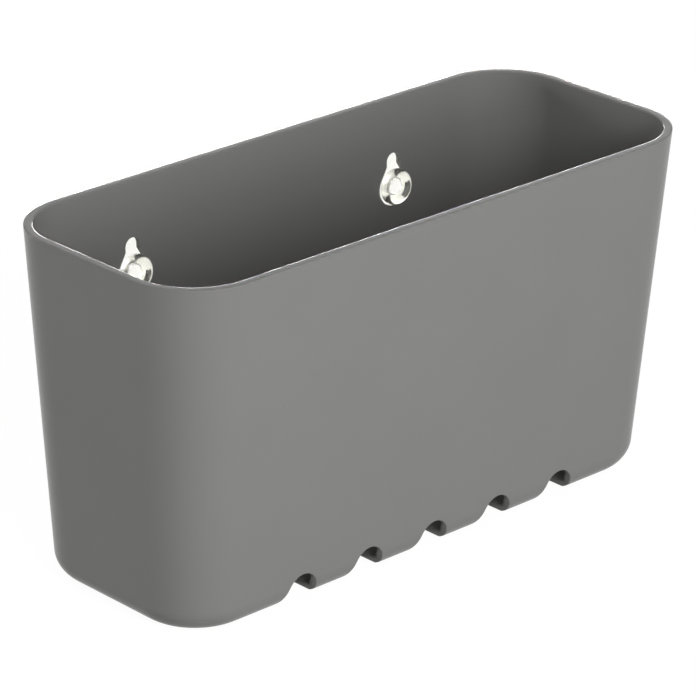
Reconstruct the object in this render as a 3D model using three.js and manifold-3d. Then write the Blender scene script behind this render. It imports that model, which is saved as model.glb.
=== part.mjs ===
// Wall-mounted bath basket: one moulded plastic basket that hangs on two clear suction cups.
// Each cup is one piece with a mushroom head, which goes in through the round end of a keyhole
// in the back wall. The neck then slides up the keyhole's narrow slot. Water runs out through
// five bell-shaped notches along the front of the base.
//
// Millimetres. +X runs to the right along the wall, +Y points to the wall and +Z up. The origin
// is the middle of the base's underside.

import * as THREE from "three";
import { mergeVertices } from "three/addons/utils/BufferGeometryUtils.js";
import Module from "manifold-3d";

// Basket, outside sizes
const RIM_LENGTH = 240;
const RIM_DEPTH = 100;
const HEIGHT = 130;
const BASE_LENGTH = 224;
const BASE_DEPTH = 85;
const BACK_OVERHANG = 4; // how far the rim stands behind the base's back edge
const RIM_CORNER_RADIUS = 26.5;
const BASE_CORNER_RADIUS = 23.5;
const BASE_EDGE_RADIUS = 9;

// Basket, walls
const WALL = 2;
const FLOOR = 2.8;
const FLOOR_EDGE_RADIUS = 8;
const RIM_WIDTH = 3.2; // the wall's thickness at the top, which it reaches over RIM_TAPER
const RIM_TAPER = 14;
const RIM_OUTER_RADIUS = 0.4;
const RIM_INNER_RADIUS = 0.5;

// Drain notches: a round crown, straight flanks that spread towards the base, and rounded feet
const NOTCH_COUNT = 5;
const NOTCH_PITCH = 30.7;
const NOTCH_HEIGHT = 11.5;
const NOTCH_CROWN_RADIUS = 6.3;
const NOTCH_FLANK_ANGLE = THREE.MathUtils.degToRad(21); // from the vertical
const NOTCH_FOOT_RADIUS = 1.2;
const NOTCH_RUN = 13; // from the base's front edge to the middle of the notch's round end

// Suction cups
const CUP_SPACING = 122.7;
const CUP_RISE = 0.5; // how far up its keyhole each cup sits, from the middle of the round end
const CUP_RADIUS = 21;
const CUP_REACH = 9.5; // from the back wall to the lip
const CUP_LIP_WIDTH = 1.6;
const CUP_CROWN_THICKNESS = 2.8; // from the shoulder's face to the top of the hollow
const DOME_BEND = 0.64; // where the dome's outer curve turns down, as a share of its width
const DOME_RISE = 0.8; // how far the dome has left the wall by then
const HOLLOW_BEND = 0.8; // where the hollow's curve turns down, as a share of its radius
const SHOULDER_LAP = 1.9; // how far the shoulder reaches past the keyhole's round end
const NECK_RADIUS = 2.8;
const HEAD_RADIUS = 6.7;
const HEAD_THICKNESS = 3.7;
const HEAD_EDGE_RADIUS = 1.4;
const HEAD_BACK_RADIUS = 0.3;
const DIMPLE_RADIUS = 3.1;
const DIMPLE_DEPTH = 0.5;

// Keyholes, and the clearances in them
const KEYHOLE_HEIGHT = 95.3; // of the round end's middle above the base
const SLOT_LENGTH = 1.7; // of the slot's straight sides, from the shoulders to its round top
const KEYHOLE_FLARE_ANGLE = THREE.MathUtils.degToRad(30); // of the shoulders, from the vertical
const HEAD_CLEARANCE = 0.15; // round the head as it goes through the round end
const NECK_CLEARANCE = 0.3; // at each side of the neck in the slot
const SEAT_CLEARANCE = 0.15; // between the wall and the cup's head and shoulder

// Smoothness of the round stretches
const CORNER_STEPS = 14;
const EDGE_STEPS = 6;
const RIM_STEPS = 4;
const NOTCH_ARC_STEPS = 8;
const NOTCH_TURN_STEPS = 32;
const KEYHOLE_STEPS = 12;
const CUP_ARC_STEPS = 4;
const DOME_STEPS = 7;
const CUP_TURN_STEPS = 40;

// How far a cutter reaches past the faces that it cuts
const OVERCUT = 2;

const FRONT_OVERHANG = RIM_DEPTH - BASE_DEPTH - BACK_OVERHANG;
const BACK_LEAN = Math.atan2(BACK_OVERHANG, HEIGHT);
const HOLE_RADIUS = HEAD_RADIUS + HEAD_CLEARANCE;

const wasm = await Module();
wasm.setup();

// A closed geometry as a solid that can be cut.
function solidOf(geometry) {
  geometry.deleteAttribute("normal");
  geometry.deleteAttribute("uv");
  const merged = mergeVertices(geometry, 1e-5);
  return new wasm.Manifold(new wasm.Mesh({
    numProp: 3,
    vertProperties: new Float32Array(merged.attributes.position.array),
    triVerts: new Uint32Array(merged.index.array),
  }));
}

// A cut solid as a flat-shaded geometry.
function geometryOf(solid) {
  const { numProp, vertProperties, triVerts } = solid.getMesh();
  const points = new THREE.InterleavedBuffer(vertProperties, numProp);
  const indexed = new THREE.BufferGeometry();
  indexed.setAttribute("position", new THREE.InterleavedBufferAttribute(points, 3, 0));
  indexed.setIndex(new THREE.BufferAttribute(triVerts, 1));
  const geometry = indexed.toNonIndexed();
  geometry.computeVertexNormals();
  return geometry;
}

// Points along an arc, and along a curve that bends once.
function arcPoints(x, y, radius, from, to, steps) {
  return new THREE.ArcCurve(x, y, radius, from, to, to < from).getPoints(steps);
}
function bendPoints(start, bend, end, steps) {
  return new THREE.QuadraticBezierCurve(start, bend, end).getPoints(steps);
}

// The basket's plan at height z, drawn in all round by inset: a rounded rectangle, which grows
// evenly from the base to the rim.
function planSection(z, inset) {
  const rise = z / HEIGHT;
  const right = THREE.MathUtils.lerp(BASE_LENGTH, RIM_LENGTH, rise) / 2 - inset;
  const back = BASE_DEPTH / 2 + BACK_OVERHANG * rise - inset;
  const front = -BASE_DEPTH / 2 - FRONT_OVERHANG * rise + inset;
  const radius = THREE.MathUtils.lerp(BASE_CORNER_RADIUS, RIM_CORNER_RADIUS, rise) - inset;
  const corners = [
    [right - radius, back - radius],
    [radius - right, back - radius],
    [radius - right, front + radius],
    [right - radius, front + radius],
  ];
  return corners.flatMap(([x, y], quarter) => {
    const points = [];
    for (let step = 0; step <= CORNER_STEPS; step++) {
      const angle = (quarter + step / CORNER_STEPS) * Math.PI / 2;
      points.push(new THREE.Vector3(x + radius * Math.cos(angle), y + radius * Math.sin(angle), z));
    }
    return points;
  });
}

// The middle of a ring of points.
function middleOf(ring) {
  const sum = new THREE.Vector3();
  ring.forEach((point) => sum.add(point));
  return sum.divideScalar(ring.length);
}

// Joins rings of equally many points into one closed skin, with a flat cap on each end.
function loft(rings) {
  const count = rings[0].length;
  const last = rings.length - 1;
  const points = rings.flat();
  const firstMiddle = points.push(middleOf(rings[0])) - 1;
  const lastMiddle = points.push(middleOf(rings[last])) - 1;
  const faces = [];
  for (let i = 0; i < count; i++) {
    const next = (i + 1) % count;
    faces.push(firstMiddle, next, i);
    for (let ring = 0; ring < last; ring++) {
      const low = ring * count;
      const high = low + count;
      faces.push(low + i, low + next, high + next);
      faces.push(low + i, high + next, high + i);
    }
    faces.push(lastMiddle, last * count + i, last * count + next);
  }
  return new THREE.BufferGeometry().setFromPoints(points).setIndex(faces);
}

// The basket's skin: up the outside from the base, over the rim and down the inside to the floor.
function basketSkin() {
  const rings = [];
  for (let step = 0; step <= EDGE_STEPS; step++) {
    const angle = (1 - step / EDGE_STEPS) * Math.PI / 2;
    const z = BASE_EDGE_RADIUS * (1 - Math.sin(angle));
    rings.push(planSection(z, BASE_EDGE_RADIUS * (1 - Math.cos(angle))));
  }
  for (let step = 0; step <= RIM_STEPS; step++) {
    const angle = step / RIM_STEPS * Math.PI / 2;
    const z = HEIGHT - RIM_OUTER_RADIUS * (1 - Math.sin(angle));
    rings.push(planSection(z, RIM_OUTER_RADIUS * (1 - Math.cos(angle))));
  }
  for (let step = 0; step <= RIM_STEPS; step++) {
    const angle = (1 - step / RIM_STEPS) * Math.PI / 2;
    const z = HEIGHT - RIM_INNER_RADIUS * (1 - Math.sin(angle));
    rings.push(planSection(z, RIM_WIDTH - RIM_INNER_RADIUS * (1 - Math.cos(angle))));
  }
  rings.push(planSection(HEIGHT - RIM_TAPER, WALL));
  for (let step = 0; step <= EDGE_STEPS; step++) {
    const angle = step / EDGE_STEPS * Math.PI / 2;
    const z = FLOOR + FLOOR_EDGE_RADIUS * (1 - Math.sin(angle));
    rings.push(planSection(z, WALL + FLOOR_EDGE_RADIUS * (1 - Math.cos(angle))));
  }
  return loft(rings);
}

// The right half of a notch's outline, from the crown's top to below the base, as (x, z).
function notchHalfOutline() {
  const sin = Math.sin(NOTCH_FLANK_ANGLE);
  const cos = Math.cos(NOTCH_FLANK_ANGLE);
  const crown = new THREE.Vector2(0, NOTCH_HEIGHT - NOTCH_CROWN_RADIUS);
  // The foot's arc touches the flank and the base, with its middle in the material.
  const apart = NOTCH_CROWN_RADIUS + NOTCH_FOOT_RADIUS;
  const drop = crown.y - NOTCH_FOOT_RADIUS;
  const foot = new THREE.Vector2((apart + drop * sin) / cos, NOTCH_FOOT_RADIUS);
  const up = Math.PI / 2;
  const flank = NOTCH_FLANK_ANGLE;
  return [
    ...arcPoints(crown.x, crown.y, NOTCH_CROWN_RADIUS, up, flank, NOTCH_ARC_STEPS),
    ...arcPoints(foot.x, foot.y, NOTCH_FOOT_RADIUS, flank - 2 * up, -up, NOTCH_ARC_STEPS),
    new THREE.Vector2(foot.x, -OVERCUT),
  ];
}

// Cuts one drain notch: in from the front through wall and floor, to a round end.
function notchCutter(x) {
  const half = notchHalfOutline();
  const mirrored = half.slice(1).reverse().map((point) => new THREE.Vector2(-point.x, point.y));
  const shape = new THREE.Shape([...mirrored, ...half]);
  const endY = NOTCH_RUN - BASE_DEPTH / 2;
  const length = NOTCH_RUN + FRONT_OVERHANG + OVERCUT;
  const channel = new THREE.ExtrudeGeometry(shape, { depth: length, bevelEnabled: false });
  channel.rotateX(Math.PI / 2).translate(x, endY, 0);
  const spun = [...half].reverse();
  spun.unshift(new THREE.Vector2(0, -OVERCUT));
  const end = new THREE.LatheGeometry(spun, NOTCH_TURN_STEPS);
  end.rotateX(Math.PI / 2).translate(x, endY, 0);
  return solidOf(channel).add(solidOf(end));
}

// A frame on the back wall's outer face, level with the middles of the keyholes' round ends: +Y
// points straight out of the wall and +Z up along it.
const backWall = new THREE.Group();
backWall.position.set(0, BASE_DEPTH / 2 + BACK_OVERHANG * KEYHOLE_HEIGHT / HEIGHT, KEYHOLE_HEIGHT);
backWall.rotation.x = -BACK_LEAN;
backWall.updateMatrix();

// Cuts one keyhole through the back wall: a round end for the head, shoulders that lead from it to
// a slot for the neck, and the slot's round top.
function keyholeCutter(x) {
  const slot = NECK_RADIUS + NECK_CLEARANCE;
  const sin = Math.sin(KEYHOLE_FLARE_ANGLE);
  const cos = Math.cos(KEYHOLE_FLARE_ANGLE);
  const shoulder = (HOLE_RADIUS - slot * cos) / sin;
  const shape = new THREE.Shape();
  shape.absarc(
    0, 0, HOLE_RADIUS, Math.PI - KEYHOLE_FLARE_ANGLE, 2 * Math.PI + KEYHOLE_FLARE_ANGLE, false,
  );
  shape.lineTo(slot, shoulder);
  shape.absarc(0, shoulder + SLOT_LENGTH, slot, 0, Math.PI, false);
  shape.lineTo(-slot, shoulder);
  const options = { depth: RIM_WIDTH + 2 * OVERCUT, bevelEnabled: false, curveSegments: KEYHOLE_STEPS };
  const cutter = new THREE.ExtrudeGeometry(shape, options);
  cutter.rotateX(Math.PI / 2).translate(x, OVERCUT, 0).applyMatrix4(backWall.matrix);
  return solidOf(cutter);
}

function basket() {
  let solid = solidOf(basketSkin());
  for (let i = 0; i < NOTCH_COUNT; i++) {
    solid = solid.subtract(notchCutter((i - (NOTCH_COUNT - 1) / 2) * NOTCH_PITCH));
  }
  for (const side of [-1, 1]) {
    solid = solid.subtract(keyholeCutter(side * CUP_SPACING / 2));
  }
  return geometryOf(solid);
}

// One suction cup, turned about +Y: a dimpled head inside the basket, the neck through the wall,
// a flat shoulder against the wall's outer face and a hollow dome out to the lip.
function suctionCup() {
  const headBack = -WALL - SEAT_CLEARANCE;
  const headFront = headBack - HEAD_THICKNESS;
  const crown = SEAT_CLEARANCE + CUP_CROWN_THICKNESS;
  const lipInner = CUP_RADIUS - CUP_LIP_WIDTH;
  const shoulderRadius = HOLE_RADIUS + SHOULDER_LAP;
  const domeBend = shoulderRadius + DOME_BEND * (CUP_RADIUS - shoulderRadius);
  const dimpleCurve = (DIMPLE_RADIUS ** 2 + DIMPLE_DEPTH ** 2) / (2 * DIMPLE_DEPTH);
  const dimpleAngle = Math.asin(DIMPLE_RADIUS / dimpleCurve);
  const dimpleY = headFront + DIMPLE_DEPTH - dimpleCurve;
  const edgeX = HEAD_RADIUS - HEAD_EDGE_RADIUS;
  const edgeY = headFront + HEAD_EDGE_RADIUS;
  const backX = HEAD_RADIUS - HEAD_BACK_RADIUS;
  const backY = headBack - HEAD_BACK_RADIUS;
  const up = Math.PI / 2;
  const at = (radius, y) => new THREE.Vector2(radius, y);
  const profile = [
    ...arcPoints(0, dimpleY, dimpleCurve, up, up - dimpleAngle, CUP_ARC_STEPS),
    ...arcPoints(edgeX, edgeY, HEAD_EDGE_RADIUS, -up, 0, CUP_ARC_STEPS),
    ...arcPoints(backX, backY, HEAD_BACK_RADIUS, 0, up, CUP_ARC_STEPS),
    at(NECK_RADIUS, headBack),
    at(NECK_RADIUS, SEAT_CLEARANCE),
    ...bendPoints(at(shoulderRadius, SEAT_CLEARANCE), at(domeBend, SEAT_CLEARANCE + DOME_RISE),
      at(CUP_RADIUS, CUP_REACH), DOME_STEPS),
    ...bendPoints(at(lipInner, CUP_REACH), at(HOLLOW_BEND * lipInner, crown), at(0, crown), DOME_STEPS),
  ];
  return new THREE.LatheGeometry(profile, CUP_TURN_STEPS);
}

const greyPolypropylene = new THREE.MeshStandardMaterial({
  name: "grey_polypropylene", color: 0x7b7b78, roughness: 0.5, metalness: 0,
});
const clearVinyl = new THREE.MeshStandardMaterial({
  name: "clear_vinyl", color: 0xe8ebdf, roughness: 0.12, metalness: 0, transparent: true, opacity: 0.5,
});

const bathBasket = new THREE.Group();
const basketMesh = new THREE.Mesh(basket(), greyPolypropylene);
basketMesh.name = "basket";
bathBasket.add(basketMesh, backWall);
for (const [name, side] of [["suction_cup_left", -1], ["suction_cup_right", 1]]) {
  const cup = new THREE.Mesh(suctionCup(), clearVinyl.clone());
  cup.name = name;
  cup.position.set(side * CUP_SPACING / 2, 0, CUP_RISE);
  backWall.add(cup);
}

export default bathBasket;
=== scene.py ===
# Wall-mounted bath basket: its looks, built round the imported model.
# Sizes are in millimetres until a piece is finished. Finished pieces and the stage are in metres, in
# the model's own frame: +X to the right along the wall, +Y to the wall and +Z up, from the middle of
# the base's underside.

import math

import bmesh
import bpy
from mathutils import Matrix, Vector


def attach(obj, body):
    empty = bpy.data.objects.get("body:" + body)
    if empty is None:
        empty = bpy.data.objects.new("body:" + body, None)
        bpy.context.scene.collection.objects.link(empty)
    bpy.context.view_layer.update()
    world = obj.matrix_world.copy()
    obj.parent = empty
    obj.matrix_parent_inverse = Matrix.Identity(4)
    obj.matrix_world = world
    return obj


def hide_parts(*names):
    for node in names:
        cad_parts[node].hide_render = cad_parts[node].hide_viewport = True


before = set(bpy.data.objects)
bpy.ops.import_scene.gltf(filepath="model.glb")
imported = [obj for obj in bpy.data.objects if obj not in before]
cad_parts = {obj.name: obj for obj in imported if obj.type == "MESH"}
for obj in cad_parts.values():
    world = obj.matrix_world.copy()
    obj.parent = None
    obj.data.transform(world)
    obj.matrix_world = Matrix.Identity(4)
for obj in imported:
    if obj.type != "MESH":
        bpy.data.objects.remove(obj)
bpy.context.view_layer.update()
MM = 0.001

# Basket, outside sizes
RIM_LENGTH = 240
RIM_DEPTH = 100
HEIGHT = 130
BASE_LENGTH = 224
BASE_DEPTH = 85
BACK_OVERHANG = 4
FRONT_OVERHANG = RIM_DEPTH - BASE_DEPTH - BACK_OVERHANG
BACK_LEAN = math.atan2(BACK_OVERHANG, HEIGHT)
RIM_CORNER_RADIUS = 26.5
BASE_CORNER_RADIUS = 23.5
BASE_EDGE_RADIUS = 9

# Basket, walls
WALL = 2
FLOOR = 2.8
FLOOR_EDGE_RADIUS = 8
RIM_WIDTH = 3.2
RIM_TAPER = 14
RIM_OUTER_RADIUS = 0.4
RIM_INNER_RADIUS = 0.5

# Drain notches
NOTCH_COUNT = 5
NOTCH_PITCH = 30.7
NOTCH_HEIGHT = 11.5
NOTCH_CROWN_RADIUS = 6.3
NOTCH_FLANK_ANGLE = math.radians(21)
NOTCH_FOOT_RADIUS = 1.2
NOTCH_RUN = 13
NOTCH_EDGE_RADIUS = 0.4

# Suction cups. The bends of the dome and of the hollow are shares of the way out to the lip, and the
# head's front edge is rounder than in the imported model, as it is in the photograph.
CUP_SPACING = 122.7
CUP_RISE = 0.5
CUP_RADIUS = 21
CUP_REACH = 9.5
CUP_LIP_WIDTH = 1.6
CUP_CROWN_THICKNESS = 2.8
DOME_BEND = 0.64
DOME_RISE = 0.8
HOLLOW_BEND = 0.8
NECK_RADIUS = 2.8
HEAD_RADIUS = 6.7
HEAD_THICKNESS = 3.7
HEAD_EDGE_RADIUS = 2.6
HEAD_BACK_RADIUS = 0.3
DIMPLE_RADIUS = 3.1
DIMPLE_DEPTH = 0.5
DIMPLE_FLOOR_RADIUS = 0.6 * DIMPLE_RADIUS
SEAT_CLEARANCE = 0.15

# Suction cups, how far the rounds of a turned corner reach
DIMPLE_FLOOR_ROUND = 0.9
DIMPLE_EDGE_ROUND = 0.5
NECK_ROUND = 0.5
SHOULDER_ROUND = 1.5
DOME_ROUND = 6
LIP_ROUND = 0.3

# Keyholes
KEYHOLE_HEIGHT = 95.3
SLOT_LENGTH = 1.7
KEYHOLE_FLARE_ANGLE = math.radians(30)
KEYHOLE_EDGE_RADIUS = 0.2
HEAD_CLEARANCE = 0.15
NECK_CLEARANCE = 0.3
SHOULDER_LAP = 1.9
HOLE_RADIUS = HEAD_RADIUS + HEAD_CLEARANCE
SLOT_HALF_WIDTH = NECK_RADIUS + NECK_CLEARANCE
SHOULDER_RADIUS = HOLE_RADIUS + SHOULDER_LAP

# How far a cutter reaches past what it cuts
OVERCUT = 2

# Face marks for what the cutters leave, so that their edges can be found and rounded
SKIN = 0
NOTCH_CUT = 1
KEYHOLE_CUT = 2

# An edge whose faces meet at less than this is smooth already
BLUNT = math.radians(70)

# Vertices nearer than these become one. The notches cross the close rings of the base edge, which
# leaves slivers, so along them the distance is larger.
NOTCH_MERGE = 0.12
BASKET_MERGE = 0.01
TURNED_MERGE = 1e-4

# How many steps draw each round
PLAN_CORNER_STEPS = 24
BASE_EDGE_STEPS = 12
RIM_EDGE_STEPS = 5
FLOOR_EDGE_STEPS = 10
NOTCH_CROWN_STEPS = 12
NOTCH_FOOT_STEPS = 4
NOTCH_END_STEPS = 24
SLOT_TOP_STEPS = 20
HOLE_STEPS = 48
CUT_EDGE_STEPS = 4
CUP_CORNER_STEPS = 6
CUP_TURN_STEPS = 96


# Drawing and turning

def draw_to(bm, vert, point):
    """A straight edge from vert to a new point."""
    new = bmesh.ops.extrude_vert_indiv(bm, verts=[vert])["verts"][0]
    new.co = point
    return new


def sweep(bm, vert, centre, angle, steps):
    """An arc in the XZ plane from vert round centre, and its last vertex."""
    made = bmesh.ops.spin(bm, geom=[vert], cent=centre, axis=(0, 1, 0), angle=angle, steps=steps)
    return made["geom_last"][0]


def close_loop(bm, first, last):
    """Joins a drawn line's ends and fills it with one face."""
    bmesh.ops.contextual_create(bm, geom=[first, last])
    return bmesh.ops.contextual_create(bm, geom=bm.edges[:])["faces"]


def mesh_of(bm, name):
    mesh = bpy.data.meshes.new(name)
    bm.to_mesh(mesh)
    bm.free()
    return mesh


def object_of(mesh, name):
    piece = bpy.data.objects.new(name, mesh)
    bpy.context.scene.collection.objects.link(piece)
    return piece


# Basket

def plan_ring(bm, z, inset):
    """The basket's plan at height z, drawn in all round by inset, as a loop of edges."""
    rise = z / HEIGHT
    half = (BASE_LENGTH + (RIM_LENGTH - BASE_LENGTH) * rise) / 2 - inset
    back = BASE_DEPTH / 2 + BACK_OVERHANG * rise - inset
    front = -BASE_DEPTH / 2 - FRONT_OVERHANG * rise + inset
    radius = BASE_CORNER_RADIUS + (RIM_CORNER_RADIUS - BASE_CORNER_RADIUS) * rise - inset
    others = set(bm.edges)
    corners = bmesh.ops.create_grid(bm, x_segments=1, y_segments=1, size=1)["verts"]
    bmesh.ops.scale(bm, vec=(half, (back - front) / 2, 1), verts=corners)
    bmesh.ops.translate(bm, vec=(0, (back + front) / 2, z), verts=corners)
    bmesh.ops.bevel(
        bm, geom=corners, offset=radius, segments=PLAN_CORNER_STEPS, profile=0.5, affect="VERTICES",
        material=-1,
    )
    ring = [edge for edge in bm.edges if edge not in others]
    bmesh.ops.delete(bm, geom=list(ring[0].link_faces), context="FACES_ONLY")
    return ring


def quarter(steps):
    """Sine and cosine along a quarter turn."""
    angles = [math.pi / 2 * step / steps for step in range(steps + 1)]
    return [(math.sin(angle), math.cos(angle)) for angle in angles]


def shell():
    """The basket before it is cut: up the outside, over the rim and down the inside."""
    bm = bmesh.new()
    rings = []
    for sin, cos in reversed(quarter(BASE_EDGE_STEPS)):
        rings.append(plan_ring(bm, BASE_EDGE_RADIUS * (1 - sin), BASE_EDGE_RADIUS * (1 - cos)))
    for sin, cos in quarter(RIM_EDGE_STEPS):
        rings.append(
            plan_ring(bm, HEIGHT - RIM_OUTER_RADIUS * (1 - sin), RIM_OUTER_RADIUS * (1 - cos))
        )
    for sin, cos in reversed(quarter(RIM_EDGE_STEPS)):
        inset = RIM_WIDTH - RIM_INNER_RADIUS * (1 - cos)
        rings.append(plan_ring(bm, HEIGHT - RIM_INNER_RADIUS * (1 - sin), inset))
    rings.append(plan_ring(bm, HEIGHT - RIM_TAPER, WALL))
    for sin, cos in quarter(FLOOR_EDGE_STEPS):
        inset = WALL + FLOOR_EDGE_RADIUS * (1 - cos)
        rings.append(plan_ring(bm, FLOOR + FLOOR_EDGE_RADIUS * (1 - sin), inset))
    for lower, upper in zip(rings, rings[1:]):
        bmesh.ops.bridge_loops(bm, edges=lower + upper)
    bmesh.ops.contextual_create(bm, geom=rings[0])
    bmesh.ops.contextual_create(bm, geom=rings[-1])
    bmesh.ops.recalc_face_normals(bm, faces=bm.faces)
    return bm


def notch_cutter(x):
    """A bell outline with a round end, which runs in from the front through wall and floor."""
    bm = bmesh.new()
    crown = Vector((0, 0, NOTCH_HEIGHT - NOTCH_CROWN_RADIUS))
    apart = NOTCH_CROWN_RADIUS + NOTCH_FOOT_RADIUS
    drop = crown.z - NOTCH_FOOT_RADIUS
    sin = math.sin(NOTCH_FLANK_ANGLE)
    cos = math.cos(NOTCH_FLANK_ANGLE)
    foot = Vector(((apart + drop * sin) / cos, 0, NOTCH_FOOT_RADIUS))
    turn = math.pi / 2 - NOTCH_FLANK_ANGLE
    top = bm.verts.new((0, 0, NOTCH_HEIGHT))
    flank = sweep(bm, top, crown, turn, NOTCH_CROWN_STEPS)
    knee = draw_to(bm, flank, foot - NOTCH_FOOT_RADIUS * Vector((cos, 0, sin)))
    toe = sweep(bm, knee, foot, -turn, NOTCH_FOOT_STEPS)
    corner = draw_to(bm, toe, (foot.x, 0, -OVERCUT))
    draw_to(bm, corner, (0, 0, -OVERCUT))
    outline = bm.edges[:]
    turned = bmesh.ops.spin(
        bm, geom=bm.verts[:] + outline, cent=(0, 0, 0), axis=(0, 0, 1), angle=math.pi,
        steps=NOTCH_END_STEPS,
    )
    far_side = [part for part in turned["geom_last"] if isinstance(part, bmesh.types.BMEdge)]
    run = bmesh.ops.extrude_edge_only(bm, edges=outline + far_side)["geom"]
    length = NOTCH_RUN + FRONT_OVERHANG + OVERCUT
    front = [part for part in run if isinstance(part, bmesh.types.BMVert)]
    bmesh.ops.translate(bm, vec=(0, -length, 0), verts=front)
    bmesh.ops.remove_doubles(bm, verts=bm.verts, dist=TURNED_MERGE)
    bmesh.ops.contextual_create(bm, geom=[edge for edge in bm.edges if edge.is_boundary])
    bmesh.ops.recalc_face_normals(bm, faces=bm.faces)
    bmesh.ops.translate(bm, vec=(x, NOTCH_RUN - BASE_DEPTH / 2, 0), verts=bm.verts)
    return bm


def back_wall_place(x, rise=0):
    """From a frame on the back wall's outer face, with +Y out of the wall and +Z up along it."""
    back = BASE_DEPTH / 2 + BACK_OVERHANG * KEYHOLE_HEIGHT / HEIGHT
    wall = Matrix.Translation((x, back, KEYHOLE_HEIGHT)) @ Matrix.Rotation(-BACK_LEAN, 4, "X")
    return wall @ Matrix.Translation((0, 0, rise))


def keyhole_cutter(x):
    """A round end, shoulders that lead from it to a slot, and the slot's round top."""
    bm = bmesh.new()
    sin = math.sin(KEYHOLE_FLARE_ANGLE)
    cos = math.cos(KEYHOLE_FLARE_ANGLE)
    shoulder = (HOLE_RADIUS - SLOT_HALF_WIDTH * cos) / sin
    first = bm.verts.new((SLOT_HALF_WIDTH, 0, shoulder))
    top = shoulder + SLOT_LENGTH
    right = draw_to(bm, first, (SLOT_HALF_WIDTH, 0, top))
    left = sweep(bm, right, (0, 0, top), -math.pi, SLOT_TOP_STEPS)
    left = draw_to(bm, left, (-SLOT_HALF_WIDTH, 0, shoulder))
    edge = draw_to(bm, left, (-HOLE_RADIUS * cos, 0, HOLE_RADIUS * sin))
    last = sweep(bm, edge, (0, 0, 0), -math.pi - 2 * KEYHOLE_FLARE_ANGLE, HOLE_STEPS)
    face = close_loop(bm, first, last)
    deep = bmesh.ops.extrude_face_region(bm, geom=face)["geom"]
    depth = RIM_WIDTH + 2 * OVERCUT
    moved = [part for part in deep if isinstance(part, bmesh.types.BMVert)]
    bmesh.ops.translate(bm, vec=(0, -depth, 0), verts=moved)
    bmesh.ops.translate(bm, vec=(0, OVERCUT, 0), verts=bm.verts)
    bmesh.ops.recalc_face_normals(bm, faces=bm.faces)
    bmesh.ops.transform(bm, matrix=back_wall_place(x), verts=bm.verts)
    return bm


def cut(target, cutters):
    """Takes each cutter out of target. The cutter's faces keep its own mark."""
    for bm, mark in cutters:
        for face in bm.faces:
            face.material_index = mark
        tool = object_of(mesh_of(bm, "cutter"), "cutter")
        difference = target.modifiers.new("cut", "BOOLEAN")
        difference.operation = "DIFFERENCE"
        difference.solver = "EXACT"
        difference.material_mode = "INDEX"
        difference.object = tool
        graph = bpy.context.evaluated_depsgraph_get()
        target.data = bpy.data.meshes.new_from_object(target.evaluated_get(graph))
        target.modifiers.clear()
        bpy.data.objects.remove(tool)


def round_cut_edges(bm, mark, radius, facing):
    """Rounds the edges that a cut with this mark left on the skin that faces this way. The edges
    where the cut runs smoothly into the skin stay."""
    edges = []
    for edge in bm.edges:
        faces = {face.material_index: face for face in edge.link_faces}
        if set(faces) != {SKIN, mark} or faces[SKIN].normal.dot(facing) < 0:
            continue
        if edge.calc_face_angle() > BLUNT:
            edges.append(edge)
    bmesh.ops.bevel(
        bm, geom=edges, offset=radius, segments=CUT_EDGE_STEPS, profile=0.5, affect="EDGES",
        material=-1, clamp_overlap=False, loop_slide=True,
    )


def basket():
    piece = object_of(mesh_of(shell(), "basket_shell"), "basket_shell")
    # A cut face keeps its mark only where the basket has a slot for it
    for mark in (SKIN, NOTCH_CUT, KEYHOLE_CUT):
        piece.data.materials.append(grey_polypropylene)
    middle = (NOTCH_COUNT - 1) / 2
    cut(piece, [(notch_cutter((i - middle) * NOTCH_PITCH), NOTCH_CUT) for i in range(NOTCH_COUNT)])
    cut(piece, [(keyhole_cutter(side * CUP_SPACING / 2), KEYHOLE_CUT) for side in (-1, 1)])
    bm = bmesh.new()
    bm.from_mesh(piece.data)
    cut_faces = [face for face in bm.faces if face.material_index == NOTCH_CUT]
    cut_verts = list({vert for face in cut_faces for vert in face.verts})
    bmesh.ops.remove_doubles(bm, verts=cut_verts, dist=NOTCH_MERGE)
    bmesh.ops.remove_doubles(bm, verts=bm.verts, dist=BASKET_MERGE)
    round_cut_edges(bm, NOTCH_CUT, NOTCH_EDGE_RADIUS, Vector((0, -1, -1)))
    round_cut_edges(bm, KEYHOLE_CUT, KEYHOLE_EDGE_RADIUS, Vector((0, -1, 0)))
    round_cut_edges(bm, KEYHOLE_CUT, KEYHOLE_EDGE_RADIUS, Vector((0, 1, 0)))
    for face in bm.faces:
        face.material_index = 0
        face.smooth = True
    bmesh.ops.scale(bm, vec=(MM, MM, MM), verts=bm.verts)
    piece.data = mesh_of(bm, "basket_shell")
    piece.data.materials.append(grey_polypropylene)
    even = piece.modifiers.new("even_shading", "WEIGHTED_NORMAL")
    even.keep_sharp = True
    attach(piece, "basket")
    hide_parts("basket")


# Suction cups

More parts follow.
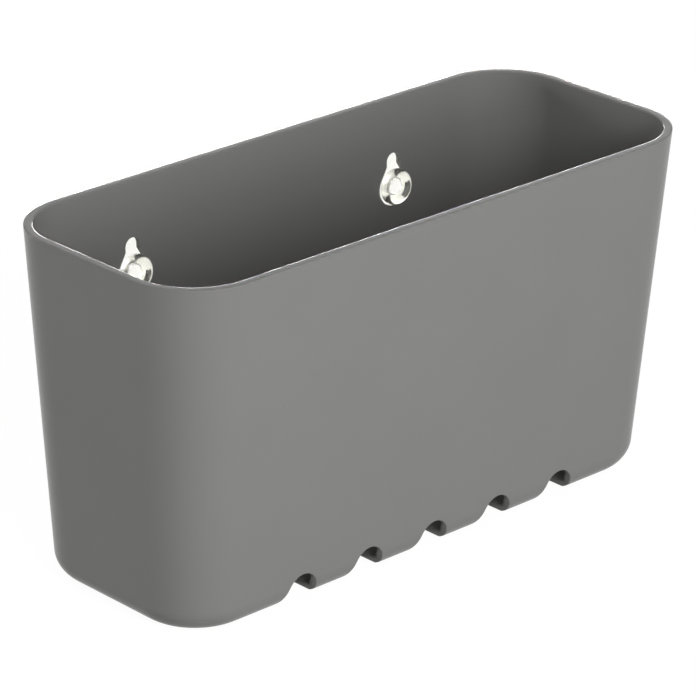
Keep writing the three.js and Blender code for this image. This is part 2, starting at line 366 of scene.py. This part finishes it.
def cup(name, x):
    """One cup, turned about its axis from a line with rounded corners."""
    head_back = -WALL - SEAT_CLEARANCE
    head_front = head_back - HEAD_THICKNESS
    crown = SEAT_CLEARANCE + CUP_CROWN_THICKNESS
    lip_inner = CUP_RADIUS - CUP_LIP_WIDTH
    dome_bend = SHOULDER_RADIUS + DOME_BEND * (CUP_RADIUS - SHOULDER_RADIUS)
    # Each corner of the line: radius from the axis, place along it, and how far its round reaches
    line = [
        (0, head_front + DIMPLE_DEPTH, 0),
        (DIMPLE_FLOOR_RADIUS, head_front + DIMPLE_DEPTH, DIMPLE_FLOOR_ROUND),
        (DIMPLE_RADIUS, head_front, DIMPLE_EDGE_ROUND),
        (HEAD_RADIUS, head_front, HEAD_EDGE_RADIUS),
        (HEAD_RADIUS, head_back, HEAD_BACK_RADIUS),
        (NECK_RADIUS, head_back, NECK_ROUND),
        (NECK_RADIUS, SEAT_CLEARANCE, NECK_ROUND),
        (SHOULDER_RADIUS, SEAT_CLEARANCE, SHOULDER_ROUND),
        (dome_bend, SEAT_CLEARANCE + DOME_RISE, DOME_ROUND),
        (CUP_RADIUS, CUP_REACH, LIP_ROUND),
        (lip_inner, CUP_REACH, LIP_ROUND),
        (HOLLOW_BEND * lip_inner, crown, DOME_ROUND),
        (0, crown, 0),
    ]
    bm = bmesh.new()
    end = bm.verts.new((line[0][0], line[0][1], 0))
    corners = []
    for radius, along, reach in line[1:]:
        end = draw_to(bm, end, (radius, along, 0))
        corners.append((end, reach))
    for corner, reach in corners:
        if reach:
            bmesh.ops.bevel(
                bm, geom=[corner], offset=reach, segments=CUP_CORNER_STEPS, profile=0.5,
                affect="VERTICES", material=-1,
            )
    bmesh.ops.spin(
        bm, geom=bm.verts[:] + bm.edges[:], cent=(0, 0, 0), axis=(0, 1, 0), angle=2 * math.pi,
        steps=CUP_TURN_STEPS, use_merge=True,
    )
    bmesh.ops.remove_doubles(bm, verts=bm.verts, dist=TURNED_MERGE)
    bmesh.ops.recalc_face_normals(bm, faces=bm.faces)
    bmesh.ops.transform(bm, matrix=back_wall_place(x, CUP_RISE), verts=bm.verts)
    bmesh.ops.scale(bm, vec=(MM, MM, MM), verts=bm.verts)
    for face in bm.faces:
        face.smooth = True
    piece = object_of(mesh_of(bm, name + "_vinyl"), name + "_vinyl")
    piece.data.materials.append(clear_vinyl)
    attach(piece, name)
    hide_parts(name)


# Materials

def colour(hex_value):
    """An sRGB hex colour as linear red, green, blue and alpha."""
    channels = [(hex_value >> shift & 255) / 255 for shift in (16, 8, 0)]
    linear = [c / 12.92 if c <= 0.04045 else ((c + 0.055) / 1.055) ** 2.4 for c in channels]
    return (*linear, 1)


def node(tree, kind, inputs=None, **settings):
    """Adds a node with its settings. An input is a value, or the socket that feeds it."""
    new = tree.nodes.new(kind)
    for key, value in settings.items():
        setattr(new, key, value)
    for key, value in (inputs or {}).items():
        if isinstance(value, bpy.types.NodeSocket):
            tree.links.new(value, new.inputs[key])
        else:
            new.inputs[key].default_value = value
    return new


def new_material(name):
    material = bpy.data.materials.new(name)
    material.use_nodes = True
    material.node_tree.nodes.clear()
    return material, material.node_tree


def polypropylene():
    """Grey polypropylene, injection moulded in a finely blasted tool: an even, slightly warm grey with
    hardly any grain. Its weak satin sheen shows only on tight edges and at a glancing angle."""
    material, tree = new_material("moulded_grey_polypropylene")
    place = node(tree, "ShaderNodeTexCoord").outputs["Object"]
    # Flow of the melt: wide patches, which differ by a shade
    flow_width = 40 * MM
    flow = node(tree, "ShaderNodeTexNoise", {"Vector": place, "Scale": 1 / flow_width, "Detail": 3})
    shade = node(
        tree, "ShaderNodeMix",
        {"Factor": flow.outputs["Fac"], "A": colour(0x848482), "B": colour(0x888886)},
        data_type="RGBA",
    )
    # Tool texture: the real grain is about 0.1 mm, drawn at 0.5 mm so that it shows
    grain_width = 0.5 * MM
    grain_depth = 0.02 * MM
    grain = node(tree, "ShaderNodeTexNoise", {"Vector": place, "Scale": 1 / grain_width, "Detail": 2})
    relief = node(
        tree, "ShaderNodeBump",
        {"Height": grain.outputs["Fac"], "Distance": grain_depth, "Strength": 0.2},
    )
    gloss = node(
        tree, "ShaderNodeMapRange", {"Value": flow.outputs["Fac"], "To Min": 0.24, "To Max": 0.26}
    )
    surface = node(
        tree, "ShaderNodeBsdfPrincipled",
        {
            "Base Color": shade.outputs["Result"],
            "Roughness": gloss.outputs["Result"],
            "Normal": relief.outputs["Normal"],
            "IOR": 1.49,
            "Specular IOR Level": 0.05,
        },
    )
    node(tree, "ShaderNodeOutputMaterial", {"Surface": surface.outputs["BSDF"]})
    return material


def vinyl():
    """Clear soft vinyl, moulded: see-through but a little soft to the eye, faintly yellow-green, with a
    slight waviness."""
    material, tree = new_material("clear_soft_vinyl")
    place = node(tree, "ShaderNodeTexCoord").outputs["Object"]
    # Waviness of the soft skin, from crest to crest
    wave_width = 3 * MM
    wave_depth = 0.1 * MM
    wave = node(tree, "ShaderNodeTexNoise", {"Vector": place, "Scale": 1 / wave_width, "Detail": 1})
    relief = node(
        tree, "ShaderNodeBump",
        {"Height": wave.outputs["Fac"], "Distance": wave_depth, "Strength": 0.2},
    )
    surface = node(
        tree, "ShaderNodeBsdfPrincipled",
        {
            "Base Color": colour(0xFEFEF8),
            "Roughness": 0.12,
            "IOR": 1.47,
            "Transmission Weight": 1,
            "Normal": relief.outputs["Normal"],
        },
    )
    node(tree, "ShaderNodeOutputMaterial", {"Surface": surface.outputs["BSDF"]})
    return material


# Stage: pale floor, white surround and soft lamps

def seen_directly(tree):
    """1 for what the eye sees, straight or by way of a mirror or a clear body, and 0 for rays that
    carry light to a dull surface."""
    path = node(tree, "ShaderNodeLightPath")
    mirror = node(
        tree, "ShaderNodeMath",
        {0: path.outputs["Is Camera Ray"], 1: path.outputs["Is Glossy Ray"]}, operation="MAXIMUM",
    )
    either = node(
        tree, "ShaderNodeMath",
        {0: mirror.outputs[0], 1: path.outputs["Is Transmission Ray"]}, operation="MAXIMUM",
    )
    # No dull surface on the way: the depth is a whole number
    sight = node(
        tree, "ShaderNodeMath", {0: path.outputs["Diffuse Depth"], 1: 0.5}, operation="LESS_THAN"
    )
    seen = node(
        tree, "ShaderNodeMath", {0: either.outputs[0], 1: sight.outputs[0]}, operation="MULTIPLY"
    )
    return seen.outputs[0]


def surround(level):
    """White to the eye all round. As light on the basket it has this level."""
    world = bpy.data.worlds.new("white_surround")
    world.use_nodes = True
    tree = world.node_tree
    tree.nodes.clear()
    strength = node(
        tree, "ShaderNodeMapRange", {"Value": seen_directly(tree), "To Min": level, "To Max": 1}
    )
    light = node(
        tree, "ShaderNodeBackground", {"Color": (1, 1, 1, 1), "Strength": strength.outputs["Result"]}
    )
    node(tree, "ShaderNodeOutputWorld", {"Surface": light.outputs["Background"]})
    bpy.context.scene.world = world


def floor(bounce, shown, shaded):
    """A pale sheet under the basket. Seen directly it is white, apart from the basket's shadow."""
    material, tree = new_material("white_sheet")
    matt = node(tree, "ShaderNodeBsdfDiffuse", {"Color": (bounce, bounce, bounce, 1)})
    pale = node(tree, "ShaderNodeBsdfDiffuse", {"Color": (shaded, shaded, shaded, 1)})
    white = node(tree, "ShaderNodeEmission", {"Color": (1, 1, 1, 1), "Strength": shown})
    both = node(tree, "ShaderNodeAddShader", {0: pale.outputs[0], 1: white.outputs[0]})
    mixed = node(
        tree, "ShaderNodeMixShader", {0: seen_directly(tree), 1: matt.outputs[0], 2: both.outputs[0]}
    )
    node(tree, "ShaderNodeOutputMaterial", {"Surface": mixed.outputs[0]})
    half_width = 4
    gap = 0.2 * MM
    bm = bmesh.new()
    bmesh.ops.create_grid(bm, x_segments=1, y_segments=1, size=half_width)
    bmesh.ops.translate(bm, vec=(0, 0, -gap), verts=bm.verts)
    sheet = object_of(mesh_of(bm, "white_sheet"), "white_sheet")
    sheet.data.materials.append(material)


def away_from_basket(azimuth, elevation):
    """The way from the basket to a lamp or the camera. Azimuth 0 is in front and 90 at the right."""
    turn = math.radians(azimuth)
    climb = math.radians(elevation)
    level = math.cos(climb)
    return Vector((math.sin(turn) * level, -math.cos(turn) * level, math.sin(climb)))


def lamp(name, azimuth, elevation, width, height, watts, shine_only=False):
    """A soft lamp that looks at the basket. One that is there to shine shows as a gleam on edges and
    lights nothing."""
    distance = 1.6
    aim = Vector((0, 0, HEIGHT / 2)) * MM
    away = away_from_basket(azimuth, elevation)
    light = bpy.data.lights.new(name, "AREA")
    light.shape = "RECTANGLE"
    light.size = width
    light.size_y = height
    light.energy = watts
    body = bpy.data.objects.new(name, light)
    body.location = aim + distance * away
    body.rotation_euler = away.to_track_quat("Z", "Y").to_euler()
    body.visible_diffuse = not shine_only
    body.visible_transmission = not shine_only
    bpy.context.scene.collection.objects.link(body)


def camera():
    """The photograph's view: a long lens, from the front left and above."""
    azimuth = -42.631
    elevation = 23.154
    focal_px = 4147.191
    image_px = 696
    middle = Vector((0, (BACK_OVERHANG - FRONT_OVERHANG) / 2, HEIGHT / 2))
    to_right = -3.251
    to_top = -0.530
    distance = 1445.63
    right = Vector((math.cos(math.radians(azimuth)), math.sin(math.radians(azimuth)), 0))
    back = away_from_basket(azimuth, elevation)
    up = back.cross(right)
    place = (middle + to_right * right + to_top * up + distance * back) * MM
    lens = bpy.data.cameras.new("photo_view")
    lens.sensor_width = 36
    lens.lens = focal_px / image_px * lens.sensor_width
    body = bpy.data.objects.new("photo_view", lens)
    body.matrix_world = Matrix.Translation(place) @ Matrix((right, up, back)).transposed().to_4x4()
    bpy.context.scene.collection.objects.link(body)
    bpy.context.scene.camera = body


bpy.context.scene.view_settings.view_transform = "Standard"
camera()
surround(level=0.25)
floor(bounce=0.6, shown=0.95, shaded=0.12)
lamp("front_lamp", azimuth=-20, elevation=25, width=0.6, height=0.6, watts=10.9)
lamp("low_lamp", azimuth=0, elevation=4, width=0.6, height=0.6, watts=9.8)
lamp("left_back_lamp", azimuth=-150, elevation=4, width=0.6, height=0.6, watts=12.5)
lamp("right_back_lamp", azimuth=132, elevation=0, width=0.6, height=0.1, watts=15)
lamp("rim_lamp", azimuth=141, elevation=2, width=0.8, height=0.16, watts=90, shine_only=True)

grey_polypropylene = polypropylene()
clear_vinyl = vinyl()
basket()
cup("suction_cup_left", -CUP_SPACING / 2)
cup("suction_cup_right", CUP_SPACING / 2)
